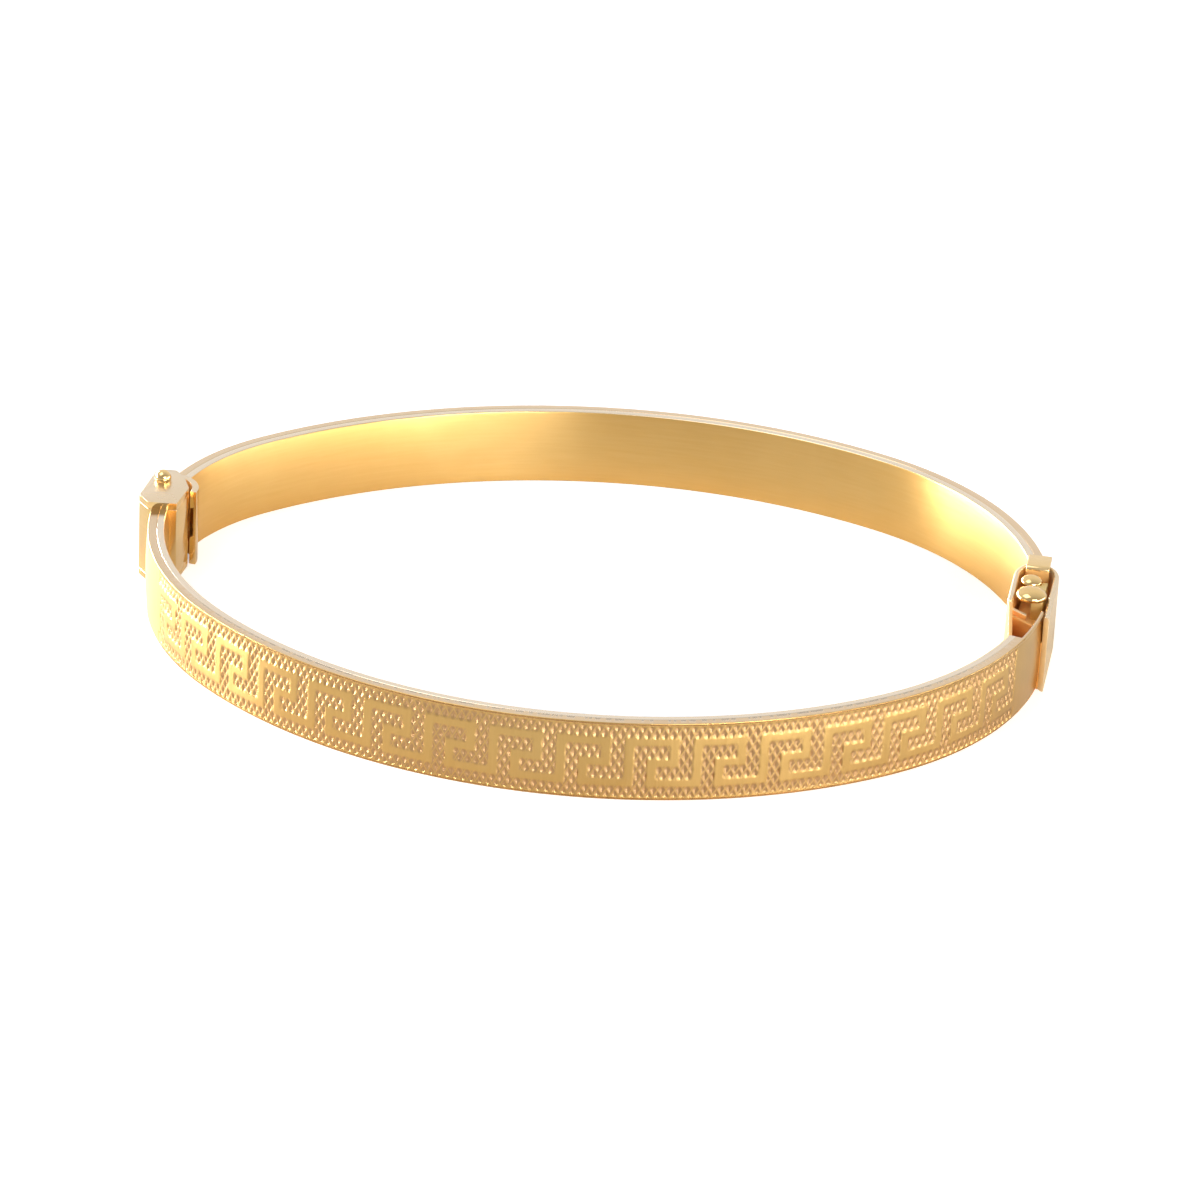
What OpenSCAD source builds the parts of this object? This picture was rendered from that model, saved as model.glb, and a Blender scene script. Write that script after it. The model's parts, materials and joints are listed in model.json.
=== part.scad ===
// Hinged oval bangle: two hollow sheet-metal halves, a pinned hinge on the left
// and a spring-tongue box clasp on the right. It lies flat, wrist opening along Z.

/* [Oval] */
// Width of the closed bangle over its outer faces, from hinge side to clasp side
bangle_w = 62; // [58:0.5:68]
// Outer radius of the front half beside the hinge
front_hinge_r = 24; // [21:0.5:27]
// Outer radius of the front half across its middle
front_mid_r = 34.2; // [32:0.1:40]
// Outer radius of the front half beside the clasp
front_clasp_r = 24.5; // [21:0.5:27]
// Outer radius of the rear half beside the hinge
rear_hinge_r = 17.5; // [15:0.5:24]
// Outer radius of the rear half across its middle
rear_mid_r = 38; // [34:0.5:44]
// Outer radius of the rear half beside the clasp
rear_clasp_r = 23; // [20:0.5:26]

/* [Band] */
// Height of the band, measured along the wrist
band_h = 5.5; // [5:0.1:7.5]
// Thickness of the hollow band from outer face to inner face
band_t = 1.3; // [1.2:0.05:1.6]
// Thickness of the sheet that the shells and liners are pressed from
sheet_t = 0.3; // [0.2:0.05:0.35]
// Width of the liner's folded edge on the rim, up to the seam
liner_lip = 0.58; // [0.45:0.01:0.7]

/* [Hinge] */
// Distance from the centre line to the front band's end, along its outer face
front_hinge_reach = 2.4; // [1.8:0.1:3.2]
// Length of the hinge block along the band
block_len = 5.6; // [5.2:0.1:6.4]
// Distance from the band's middle to the block's front corner on the wrist side
front_in = 1.2; // [1:0.05:1.4]
// Distance from the band's middle to the block's front corner on the outer side
front_out = 0.8; // [0.8:0.05:1]
// Distance from the band's middle to the block's shoulder on the wrist side
shoulder_in = 1.65; // [1.5:0.05:1.8]
// Distance from the front facet to the shoulder on the wrist side
shoulder_in_back = 2.8; // [2.4:0.1:3]
// Distance from the band's middle to the block's shoulder on the outer side
shoulder_out = 1.55; // [1.4:0.05:1.8]
// Distance from the front facet to the shoulder on the outer side
shoulder_out_back = 1.1; // [0.8:0.1:1.8]
// Width of the block at its rear shoulders
block_waist_w = 2.2; // [2:0.1:2.6]
// Distance from the front facet to the rear shoulders of the block
waist_back = 4.5; // [4.2:0.1:4.8]
// Width of the block's rear facet
block_rear_w = 0.8; // [0.6:0.05:1.2]
// Thickness of the plates on the top and the bottom of the block
plate_t = 0.5; // [0.3:0.05:0.6]
// Distance from the block's front facet to the pin
pin_back = 3.8; // [3.5:0.1:4]
// Offset of the pin from the middle of the band, away from the wrist
pin_out = 0.3; // [0.1:0.05:0.4]
// Diameter of the hinge pin
pin_d = 0.8; // [0.6:0.05:1]
// Diameter of the pin's round head where it sits on the plate
pin_head_d = 1.1; // [1.05:0.05:1.4]
// Height of the pin's head above the plate
pin_head_h = 0.75; // [0.4:0.05:1]
// Outer diameter of the knuckle tube on the rear half
knuckle_d = 2; // [1.7:0.1:2.2]
// Height of the knuckle tube
knuckle_h = 2.1; // [1.6:0.1:2.6]
// Width of the web between the knuckle and its collar
web_w = 1.4; // [1:0.1:1.5]
// Direction of the web, seen from the pin
web_deg = 75; // [68:1:82]
// Wall of the round collar that the block turns in
hinge_collar_t = 0.45; // [0.35:0.05:0.6]
// Direction of the collar's end on the wrist side, seen from the pin
collar_start_deg = -8; // [-12:1:10]
// Direction of the collar's end on the outer side, seen from the pin
collar_end_deg = 118; // [110:1:130]
// Radial clearance of the pin in the knuckle
pin_gap = 0.04; // [0.02:0.01:0.08]
// Clearance round the knuckle and its web inside the block
knuckle_gap = 0.08; // [0.05:0.01:0.15]
// Clearance between the turning block and its collar
seat_gap = 0.1; // [0.06:0.01:0.2]

/* [Clasp box] */
// Outer width of the box, across the band
box_w = 3.1; // [2.9:0.05:3.6]
// Distance that the box stands out from the band's outer face
box_proud = 0.27; // [0.15:0.01:0.35]
// Wall of the box
box_wall = 0.4; // [0.3:0.05:0.45]
// Distance from the centre line to the inside of the closed end
box_depth = 5; // [4.6:0.1:5.6]
// Outer radius of the box's closed corners
box_corner_r = 0.85; // [0.7:0.05:1]
// Angle of the slanted joint between the halves
mitre_deg = 38; // [30:1:42]
// Distance from the centre line to the slanted joint at the wrist-side wall
mitre_reach = 0.9; // [0.6:0.1:1.4]
// Gap between the halves at the slanted joint
mitre_gap = 0.12; // [0.08:0.01:0.2]
// Thickness of the floor in the box
box_floor_t = 0.3; // [0.2:0.05:0.4]
// Thickness of the slotted mouth plate
mouth_t = 0.3; // [0.2:0.05:0.4]
// Distance of the mouth plate's upper edge below the rim
mouth_drop = 0.6; // [0.55:0.05:0.8]
// Clearance round the tongue in the mouth plate
mouth_gap = 0.15; // [0.1:0.01:0.2]
// Width of the keeper tab on the closed end
keeper_w = 1.6; // [1:0.1:1.6]
// Length of the keeper tab
keeper_len = 2; // [1.8:0.1:2.8]
// Distance from the inside of the closed end to the keeper tab's front edge
keeper_in = 0.9; // [0.4:0.05:0.9]
// Thickness of the keeper tab
keeper_t = 0.36; // [0.2:0.02:0.4]
// Depth of the keeper tab's bent lip inside the box
keeper_lip = 1; // [0.6:0.1:1.4]

/* [Front clasp end] */
// Distance from the centre line to the end of the front band's closed rim
rim_end_reach = 6.8; // [6:0.1:8]
// Offset of the end box's wrist-side wall from the clasp box's wall
end_wall_step = 0.12; // [0.05:0.01:0.25]
// Height of the slanted end plate above the lower leaf
end_plate_rise = 1.9; // [0.3:0.1:2]

/* [Tongue] */
// Width of the spring tongue
leaf_w = 1.8; // [1.5:0.05:1.85]
// Thickness of the spring strip
leaf_t = 0.3; // [0.2:0.02:0.34]
// Height of the lower leaf's underside above the resting plane
leaf_z = 2.45; // [2.2:0.05:2.6]
// Width of the lower leaf's tail inside the front half
tail_w = 1; // [0.7:0.05:1.1]
// Distance from the leaf's wrist-side edge to the tail's edge
tail_step = 0.22; // [0.15:0.01:0.35]
// Distance from the centre line to the end of the tail
tail_reach = 4.6; // [4:0.1:5.2]
// Radius of the fold at the tip of the tongue
fold_r = 0.3; // [0.25:0.01:0.4]
// Free length between the fold and the keeper tab's lip
fold_room = 0.25; // [0.15:0.05:0.4]
// Clearance between the two leaves at the fold
fold_gap = 0.05; // [0.03:0.01:0.1]
// Thickness of the upper leaf over the fold
fold_wrap = 0.15; // [0.1:0.01:0.2]
// Slope of the upper leaf
leaf_deg = 10; // [8:0.5:11]
// Height of the upper leaf that catches behind the mouth plate
catch_h = 0.36; // [0.2:0.02:0.4]
// Gap between the upper leaf and the mouth plate when closed
catch_gap = 0.1; // [0.06:0.01:0.2]
// Width of the upright spine under the thumb knob
spine_w = 0.8; // [0.5:0.05:0.8]
// Offset of the spine from the middle of the tongue, away from the wrist
spine_out = 0.45; // [0.2:0.05:0.45]
// Diameter of the domed thumb knob
knob_d = 2.1; // [1.8:0.05:2.15]
// Height of the thumb knob
knob_h = 0.7; // [0.5:0.05:0.9]
// Distance of the knob's underside below the rim
knob_sink = 0.05; // [0:0.01:0.1]
// Diameter of the bead behind the knob
bead_d = 1.5; // [1.1:0.1:1.7]
// Height of the bead
bead_h = 0.6; // [0.4:0.05:0.8]
// Distance of the bead's underside below the rim
bead_sink = 0.3; // [0.2:0.02:0.34]
// Distance from the knob's centre to the bead's centre
bead_back = 2.75; // [2.5:0.05:2.9]
// Offset of the bead from the middle of the tongue, towards the wrist
bead_in = 0.25; // [0:0.05:0.25]

/* [Hidden] */
$fn = 96;

polished_gold = [0.86, 0.66, 0.34];
satin_gold = [0.80, 0.60, 0.30];
liner_gold = [0.90, 0.72, 0.42];
spring_gold = [0.72, 0.48, 0.20];

half_w = bangle_w / 2;
shell_lip = band_t - liner_lip;
// Length of the straight steps that follow the arcs
arc_step = 1.5;
// Clearance where a flat plate meets those steps
step_gap = 0.02;
// Width of metal left beside the slot in the mouth plate
slot_side = 0.1;
// Extra length for cutting shapes
over = 1;
// Reach of the half-planes that trim pieces at the slanted joint
trim = 60;

// Centre of the middle arc of a half, which touches both end arcs from inside
function mid_centre(hinge_r, mid_r, clasp_r) =
    let (span = bangle_w - hinge_r - clasp_r,
         to_hinge = mid_r - hinge_r,
         to_clasp = mid_r - clasp_r,
         along = (to_hinge * to_hinge - to_clasp * to_clasp + span * span) / (2 * span))
    [hinge_r - half_w + along, sqrt(to_hinge * to_hinge - along * along)];

hinge_arc_c = [front_hinge_r - half_w, 0];
clasp_arc_c = [half_w - front_clasp_r, 0];
front_depth = front_mid_r - mid_centre(front_hinge_r, front_mid_r, front_clasp_r)[1];
rear_depth = rear_mid_r - mid_centre(rear_hinge_r, rear_mid_r, rear_clasp_r)[1];

// Arcs of one half up to the centre line, each as [centre, radius, first angle, last angle]
function half_arcs(hinge_r, mid_r, clasp_r, start_deg) =
    let (m = mid_centre(hinge_r, mid_r, clasp_r),
         h = [hinge_r - half_w, 0],
         c = [half_w - clasp_r, 0],
         h_deg = 360 + atan2(h[1] - m[1], h[0] - m[0]),
         c_deg = 360 + atan2(c[1] - m[1], c[0] - m[0]))
    [[h, hinge_r, 180 + start_deg, h_deg],
     [m, mid_r, h_deg, c_deg],
     [c, clasp_r, c_deg, 360]];

// Points of a half at a distance inside its outer face
function arc_points(arc, inset, skip) =
    let (sweep = arc[3] - arc[2],
         steps = ceil(arc[1] * sweep * PI / 180 / arc_step))
    [for (i = [0 : steps - skip])
        let (a = arc[2] + sweep * i / steps)
        arc[0] + (arc[1] - inset) * [cos(a), sin(a)]];
function half_points(arcs, inset) = concat(
    arc_points(arcs[0], inset, 1), arc_points(arcs[1], inset, 1), arc_points(arcs[2], inset, 0));
function reversed(list) = [for (i = [len(list) - 1 : -1 : 0]) list[i]];

// Hinge block: its frame starts at the front band's end and runs back along it
block_deg = front_hinge_reach / front_hinge_r * 180 / PI;
block_at = hinge_arc_c
    - (front_hinge_r - band_t / 2) * [cos(block_deg), sin(block_deg)];
function from_block(p) = block_at + [
    p[0] * cos(block_deg) - p[1] * sin(block_deg),
    p[0] * sin(block_deg) + p[1] * cos(block_deg)
];
pin_in_block = [-pin_out, pin_back];
pin_at = from_block(pin_in_block);
block_outline = [
    [front_in, 0], [shoulder_in, shoulder_in_back], [block_waist_w / 2, waist_back],
    [block_rear_w / 2, block_len], [-block_rear_w / 2, block_len],
    [-block_waist_w / 2, waist_back], [-shoulder_out, shoulder_out_back], [-front_out, 0]
];
// Largest distance from the pin to a corner of the block behind it
turn_r = max([for (p = block_outline) if (p[1] > pin_back) norm(p - pin_in_block)]);
seat_r = turn_r + seat_gap;
hinge_collar_r = seat_r + hinge_collar_t;
plate_top = band_h + plate_t;
ear_h = (band_h - plate_t - knuckle_h) / 2 - knuckle_gap;
knuckle_z = plate_t + ear_h + knuckle_gap;

// Clasp box across the band, from the wrist-side wall out
box_x1 = half_w + box_proud;
box_x0 = box_x1 - box_w;
room_x0 = box_x0 + box_wall;
room_x1 = box_x1 - box_wall;
tongue_x = (room_x0 + room_x1) / 2;
box_end = box_depth + box_wall;
mitre_x = box_x0 + box_wall / 2;
function mitre_y(x, gap) = -mitre_reach - (x - mitre_x) * tan(mitre_deg) - gap / cos(mitre_deg);

// Front end: where the closed rim stops, and the end box beyond it
rim_end_deg = rim_end_reach / front_clasp_r * 180 / PI;
function at_rim_end(r) = clasp_arc_c + r * [cos(rim_end_deg), -sin(rim_end_deg)];
end_room_r = front_clasp_r - sheet_t - step_gap;
end_wall_x = box_x0 + end_wall_step;
wall_start = at_rim_end(front_clasp_r - band_t);
room_start = at_rim_end(front_clasp_r - band_t + sheet_t);
wall_stop = [end_wall_x, mitre_y(end_wall_x, mitre_gap)];
room_stop = [end_wall_x + sheet_t, mitre_y(end_wall_x + sheet_t, mitre_gap)];
far_x = half_w + 2 * over;

// Arcs of the two halves, before they are trimmed at the clasp
front_arcs = half_arcs(front_hinge_r, front_mid_r, front_clasp_r, block_deg);
rear_arcs = half_arcs(rear_hinge_r, rear_mid_r, rear_clasp_r, asin(pin_at[1] / rear_hinge_r));

// Tongue: fold axis, upper leaf and mouth slot
fold_y = box_depth - keeper_t - fold_room - fold_r;
fold_z = leaf_z + fold_r;
leaf_top_z = fold_z + fold_r + fold_gap + fold_wrap;
function leaf_top(y) = leaf_top_z + (fold_y - y) * tan(leaf_deg);
leaf_front_y = mitre_y(tongue_x + leaf_w / 2, -mouth_t - catch_gap);
slot_top = leaf_top(leaf_front_y) - catch_h;
slot_bottom = leaf_z - mouth_gap;
knob_z = band_h - knob_sink;
bead_z = band_h - bead_sink;
spine_front = -knob_d / 4;
spine_step = bead_back - bead_d / 2;
spine_back = bead_back + bead_d / 4;

// The origin is the middle of the closed bangle's box, on the resting plane
left_x = min([for (p = block_outline) from_block(p)[0]]);
middle = [(left_x + box_x1) / 2, (rear_depth - front_depth) / 2];

module placed() {
    translate([-middle[0], -middle[1], 0]) children();
}

// Strip that follows a half between two distances inside its outer face
module strip(arcs, inset, depth, z, height) {
    translate([0, 0, z]) linear_extrude(height)
        polygon(concat(half_points(arcs, inset), reversed(half_points(arcs, depth))));
}

// Folded edges of a sheet, along the top and the bottom rim
module folded_edges(arcs, inset, depth) {
    for (z = [0, band_h - sheet_t]) strip(arcs, inset, depth, z, sheet_t);
}

// Outer shell of a half: wall, and both edges folded in to the seam
module shell_wall(arcs) {
    strip(arcs, 0, sheet_t, 0, band_h);
}

module shell_edges(arcs) {
    folded_edges(arcs, sheet_t / 2, shell_lip);
}

// Inner liner of a half: wall with both edges folded out to the seam
module liner(arcs) {
    strip(arcs, band_t - sheet_t, band_t, 0, band_h);
    folded_edges(arcs, shell_lip, band_t - sheet_t / 2);
}

module at_pin() {
    translate([pin_at[0], pin_at[1], 0]) children();
}

module in_block() {
    translate([block_at[0], block_at[1], 0]) rotate(block_deg) children();
}

// Half-planes behind and in front of the slanted joint, shifted back by a gap
module behind_joint(gap) {
    translate([mitre_x, -mitre_reach]) rotate(-mitre_deg)
        translate([-trim, gap]) square([2 * trim, trim]);
}

module before_joint(gap) {
    translate([mitre_x, -mitre_reach]) rotate(-mitre_deg)
        translate([-trim, gap - trim]) square([2 * trim, trim]);
}

// Plan of a box end with rounded rear corners
module box_plan(x0, x1, back, corner_r) {
    translate([x0, -trim]) square([x1 - x0, trim + back - corner_r]);
    translate([x0 + corner_r, 0]) square([x1 - x0 - 2 * corner_r, back]);
    for (x = [x0 + corner_r, x1 - corner_r]) translate([x, back - corner_r]) circle(corner_r);
}

module box_room() {
    difference() {
        box_plan(room_x0, room_x1, box_depth, box_corner_r - box_wall);
        before_joint(0);
    }
}

// Trims a mirrored half at the hinge collar and at the clasp box
module rear_band() {
    difference() {
        mirror([0, 1, 0]) children();
        at_pin() translate([0, 0, -over]) cylinder(r = hinge_collar_r, h = band_h + 2 * over);
        translate([0, -over, -over]) cube([bangle_w, box_end + over, band_h + 2 * over]);
    }
}

module rear_outer_shell() {
    color(polished_gold) placed() rear_band() {
        shell_wall(rear_arcs);
        shell_edges(rear_arcs);
    }
}

module rear_inner_liner() {
    color(liner_gold) placed() rear_band() liner(rear_arcs);
}

// Web of the knuckle in plan, from the pin to halfway through the collar
module web_plan() {
    rotate(web_deg) translate([0, -web_w / 2]) square([seat_r + hinge_collar_t / 2, web_w]);
}

module rear_hinge_collar() {
    color(polished_gold) placed() at_pin() difference() {
        rotate(collar_start_deg)
            rotate_extrude(angle = collar_end_deg - collar_start_deg)
                translate([seat_r, 0]) square([hinge_collar_t, band_h]);
        translate([0, 0, knuckle_z]) linear_extrude(knuckle_h) web_plan();
    }
}

module rear_hinge_knuckle() {
    color(satin_gold) placed() at_pin() translate([0, 0, knuckle_z]) difference() {
        union() {
            cylinder(d = knuckle_d, h = knuckle_h);
            linear_extrude(knuckle_h) web_plan();
        }
        translate([0, 0, -over]) cylinder(d = pin_d + 2 * pin_gap, h = knuckle_h + 2 * over);
    }
}

module clasp_box() {
    color(polished_gold) placed() linear_extrude(band_h) difference() {
        box_plan(box_x0, box_x1, box_end, box_corner_r);
        box_plan(room_x0, room_x1, box_depth, box_corner_r - box_wall);
        before_joint(0);
    }
}

module clasp_box_floor() {
    color(spring_gold) placed() linear_extrude(box_floor_t) box_room();
}

// Plate across the mouth, with a wide slot for the leaves and an open notch for the spine
module clasp_mouth_plate() {
    slot_w = min(leaf_w + 2 * mouth_gap, room_x1 - room_x0 - 2 * slot_side);
    notch_x0 = tongue_x + spine_out - spine_w / 2 - mouth_gap;
    color(polished_gold) placed() difference() {
        translate([0, 0, box_floor_t])
            linear_extrude(band_h - mouth_drop - box_floor_t) intersection() {
                box_room();
                before_joint(mouth_t);
            }
        translate([tongue_x - slot_w / 2, -box_depth, slot_bottom])
            cube([slot_w, 2 * box_depth, slot_top - slot_bottom]);
        translate([notch_x0, -box_depth, slot_top - over / 2])
            cube([box_w, 2 * box_depth, band_h]);
    }
}

// Tab over the closed end, with its front edge bent down inside the box
module clasp_keeper_tab() {
    color(polished_gold) placed() translate([tongue_x - keeper_w / 2, box_depth - keeper_in, 0]) {
        translate([0, 0, band_h]) cube([keeper_w, keeper_len, keeper_t]);
        translate([0, 0, band_h - keeper_lip]) cube([keeper_w, keeper_t, keeper_lip + keeper_t / 2]);
    }
}

// Trims the front half's rim where the open clasp end starts
module closed_rim() {
    difference() {
        children();
        translate([clasp_arc_c[0], clasp_arc_c[1], -over]) rotate(-rim_end_deg)
            cube([trim, trim, band_h + 2 * over]);
    }
}

// Outer shell of the engraved half; its wall runs on past the rim to the slanted joint
module front_outer_shell() {
    color(satin_gold) placed() {
        difference() {
            shell_wall(front_arcs);
            translate([0, 0, -over]) linear_extrude(band_h + 2 * over) behind_joint(-mitre_gap);
        }
        closed_rim() shell_edges(front_arcs);
    }
}

module front_inner_liner() {
    color(liner_gold) placed() closed_rim() liner(front_arcs);
}

// Open-topped space at the clasp end of the front half, in plan
module end_room() {
    intersection() {
        polygon([room_start, room_stop, [far_x, mitre_y(far_x, mitre_gap)],
                 at_rim_end(front_clasp_r + over)]);
        translate(clasp_arc_c) circle(end_room_r, $fn = 360);
    }
}

module front_end_box() {
    color(spring_gold) placed() {
        linear_extrude(sheet_t) end_room();
        linear_extrude(band_h) polygon([wall_start, wall_stop, room_stop, room_start]);
    }
}

// Slanted plate across the end box, which holds the tail of the tongue
module front_end_plate() {
    color(spring_gold) placed() difference() {
        translate([0, 0, sheet_t])
            linear_extrude(leaf_z + leaf_t + end_plate_rise - sheet_t) intersection() {
                end_room();
                behind_joint(-mitre_gap - mouth_t);
            }
        tongue_tail();
    }
}

module hinge_block() {
    slot_z = knuckle_z - knuckle_gap;
    slot_v = pin_back - knuckle_d / 2 - knuckle_gap;
    color(polished_gold) placed() in_block() difference() {
        translate([0, 0, plate_t]) linear_extrude(band_h - plate_t) polygon(block_outline);
        translate([-block_len, slot_v, slot_z])
            cube([2 * block_len, block_len, knuckle_h + 2 * knuckle_gap]);
        translate([pin_in_block[0], pin_in_block[1], 0]) cylinder(d = pin_d, h = band_h + over);
    }
}

module hinge_plate(z) {
    color(polished_gold) placed() in_block() difference() {
        translate([0, 0, z]) linear_extrude(plate_t) polygon(block_outline);
        translate([pin_in_block[0], pin_in_block[1], z - over]) cylinder(d = pin_d, h = plate_t + 2 * over);
    }
}

module hinge_top_plate() {
    hinge_plate(band_h);
}

module hinge_bottom_plate() {
    hinge_plate(0);
}

module hinge_pin() {
    color(polished_gold) placed() at_pin() {
        cylinder(d = pin_d, h = plate_top + pin_head_h / 2);
        translate([0, 0, plate_top]) dome(pin_head_d, pin_head_h);
    }
}

module tongue_tail() {
    translate([tongue_x - leaf_w / 2 + tail_step, -tail_reach, leaf_z])
        cube([tail_w, tail_reach, leaf_t]);
}

// Lower leaf, fixed to the front half, with the round of the fold at its tip
module tongue_lower_leaf() {
    color(spring_gold) placed() {
        tongue_tail();
        translate([0, 0, leaf_z]) linear_extrude(leaf_t) difference() {
            translate([tongue_x - leaf_w / 2, -box_depth]) square([leaf_w, box_depth + fold_y]);
            before_joint(mouth_t);
        }
        translate([tongue_x - leaf_w / 2, fold_y, fold_z]) rotate([0, 90, 0])
            cylinder(r = fold_r, h = leaf_w);
    }
}

// Turns a side outline, drawn as (y, z), into a slab of width w at an offset from the tongue's middle
module side_slab(w, out) {
    translate([tongue_x + out - w / 2, 0, 0]) rotate([90, 0, 90]) linear_extrude(w) children();
}

// Upper leaf, free to be pressed down about the fold
module tongue_upper_leaf() {
    color(spring_gold) placed() difference() {
        side_slab(leaf_w, 0) polygon([
            [fold_y, leaf_top(fold_y)], [-box_depth, leaf_top(-box_depth)],
            [-box_depth, leaf_top(-box_depth) - leaf_t], [fold_y, leaf_top(fold_y) - leaf_t]
        ]);
        linear_extrude(2 * band_h) before_joint(mouth_t + catch_gap);
        translate([tongue_x - leaf_w, fold_y, fold_z]) rotate([0, 90, 0])
            cylinder(r = fold_r + fold_gap, h = 2 * leaf_w);
    }
}

// Upright spine on the upper leaf, stepped down from the knob to the bead
module thumb_spine() {
    color(spring_gold) placed() side_slab(spine_w, spine_out) polygon([
        [spine_front, leaf_top(spine_front)], [spine_front, knob_z], [spine_step, knob_z],
        [spine_step, bead_z], [spine_back, bead_z], [spine_back, leaf_top(spine_back)]
    ]);
}

// Round dome of a given diameter and height, with a flat underside
module dome(d, h) {
    ball_r = (d * d / 4 + h * h) / (2 * h);
    intersection() {
        translate([0, 0, h - ball_r]) sphere(ball_r);
        cylinder(r = ball_r + over, h = h + over);
    }
}

module thumb_knob() {
    color(polished_gold) placed() translate([tongue_x, 0, knob_z]) dome(knob_d, knob_h);
}

module thumb_bead() {
    color(polished_gold) placed() translate([tongue_x - bead_in, bead_back, bead_z]) dome(bead_d, bead_h);
}

rear_outer_shell();
rear_inner_liner();
rear_hinge_collar();
rear_hinge_knuckle();
clasp_box();
clasp_box_floor();
clasp_mouth_plate();
clasp_keeper_tab();
front_outer_shell();
front_inner_liner();
front_end_box();
front_end_plate();
hinge_block();
hinge_top_plate();
hinge_bottom_plate();
hinge_pin();
tongue_lower_leaf();
tongue_upper_leaf();
thumb_spine();
thumb_knob();
thumb_bead();
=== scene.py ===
import json
import math

import bmesh
import bpy
import numpy as np
from mathutils import Matrix, Vector

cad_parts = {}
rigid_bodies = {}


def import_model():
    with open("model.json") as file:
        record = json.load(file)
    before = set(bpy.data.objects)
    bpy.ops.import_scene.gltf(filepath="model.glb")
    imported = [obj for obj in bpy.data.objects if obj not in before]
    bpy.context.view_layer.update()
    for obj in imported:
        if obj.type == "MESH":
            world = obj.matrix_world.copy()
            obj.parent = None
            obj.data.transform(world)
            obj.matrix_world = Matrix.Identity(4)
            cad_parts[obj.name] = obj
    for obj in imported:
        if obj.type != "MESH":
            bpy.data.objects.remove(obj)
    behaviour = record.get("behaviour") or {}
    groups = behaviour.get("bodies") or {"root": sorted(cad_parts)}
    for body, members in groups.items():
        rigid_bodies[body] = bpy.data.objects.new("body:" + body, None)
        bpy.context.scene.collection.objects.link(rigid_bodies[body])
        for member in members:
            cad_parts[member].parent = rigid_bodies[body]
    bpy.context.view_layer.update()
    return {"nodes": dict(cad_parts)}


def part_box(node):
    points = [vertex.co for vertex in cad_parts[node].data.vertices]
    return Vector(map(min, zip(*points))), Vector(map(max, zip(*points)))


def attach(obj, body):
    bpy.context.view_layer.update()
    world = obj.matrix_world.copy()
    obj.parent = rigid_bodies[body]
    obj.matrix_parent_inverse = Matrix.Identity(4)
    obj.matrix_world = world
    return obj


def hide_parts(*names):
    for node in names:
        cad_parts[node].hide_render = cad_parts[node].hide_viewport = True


for startup_object in list(bpy.data.objects):
    bpy.data.objects.remove(startup_object)
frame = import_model()


# Engraved front sheet
# The outer sheet of the front half: thin gold sheet, pressed to a low crown and folded in along both rims.
# A Greek key is left smooth on a ground of diamond-cut pits, and the wall runs on past the rim to the clasp.

MM = 0.001
bangle_w = 62 * MM
band_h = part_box("front_outer_shell")[1].z
band_mid = band_h / 2
sheet_t = 0.3 * MM
shell_wall = 0.31 * MM
lip_h = 0.6 * sheet_t
seam_depth = 0.72 * MM
seam_r = 0.03 * MM
crown = 0.12 * MM
edge_r = 0.06 * MM
line_w = 0.09 * MM
front_radii = (24 * MM, 34.2 * MM, 24.5 * MM)
front_start = 2.4 * MM
rim_end_reach = 6.8 * MM
mitre = math.radians(38)
joint_close = 0.09 * MM
box_proud = 0.27 * MM
band_step = 0.4 * MM
tail_steps = 16
halvings = 40
level_slope = 0.6
face_slope = 0.5

key_unit = 4.41 * MM
key_count = 16
first_key = 12.57 * MM
pits_per_key = 8
pit_w = key_unit / pits_per_key
row_h = 0.49 * MM
stroke_w = 0.53 * MM
border_h = 2.5 * MM
steps_per_pit = 6
steps_per_row = 3
pit_sharp_deg = 45


class Wire:
    """A socket of a node tree. Arithmetic on it adds Math nodes to that tree."""

    def __init__(self, tree, socket=None):
        self.tree = tree
        self.socket = socket

    @staticmethod
    def chosen(sockets, key):
        """The socket in use that has a name, or a place in the list."""
        live = [socket for socket in sockets if socket.enabled]
        return live[key] if isinstance(key, int) else next(socket for socket in live if socket.name == key)

    def node(self, kind, sockets=None, output=0, **settings):
        """A new node: its settings first, then the values or links of its sockets. Gives one output."""
        made = self.tree.nodes.new(kind)
        for key, value in settings.items():
            setattr(made, key, value)
        for key, value in (sockets or {}).items():
            target = self.chosen(made.inputs, key)
            if isinstance(value, Wire):
                self.tree.links.new(value.socket, target)
            else:
                target.default_value = value
        return Wire(self.tree, self.chosen(made.outputs, output))

    def math(self, operation, *values):
        return self.node("ShaderNodeMath", dict(enumerate(values)), operation=operation)

    def __add__(self, other):
        return self.math("ADD", self, other)

    def __sub__(self, other):
        return self.math("SUBTRACT", self, other)

    def __rsub__(self, other):
        return self.math("SUBTRACT", other, self)

    def __mul__(self, other):
        return self.math("MULTIPLY", self, other)

    def __truediv__(self, other):
        return self.math("DIVIDE", self, other)

    def __abs__(self):
        return self.math("ABSOLUTE", self)

    __radd__ = __add__
    __rmul__ = __mul__

    def most(self, other):
        return self.math("MAXIMUM", self, other)

    def share(self):
        """The value held between nought and one."""
        return self.node("ShaderNodeClamp", {"Value": self})

    def mixed(self, first, second):
        """A colour on the way from the first to the second."""
        return self.node("ShaderNodeMix", {"Factor": self, "A": first, "B": second}, data_type="RGBA")


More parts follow.
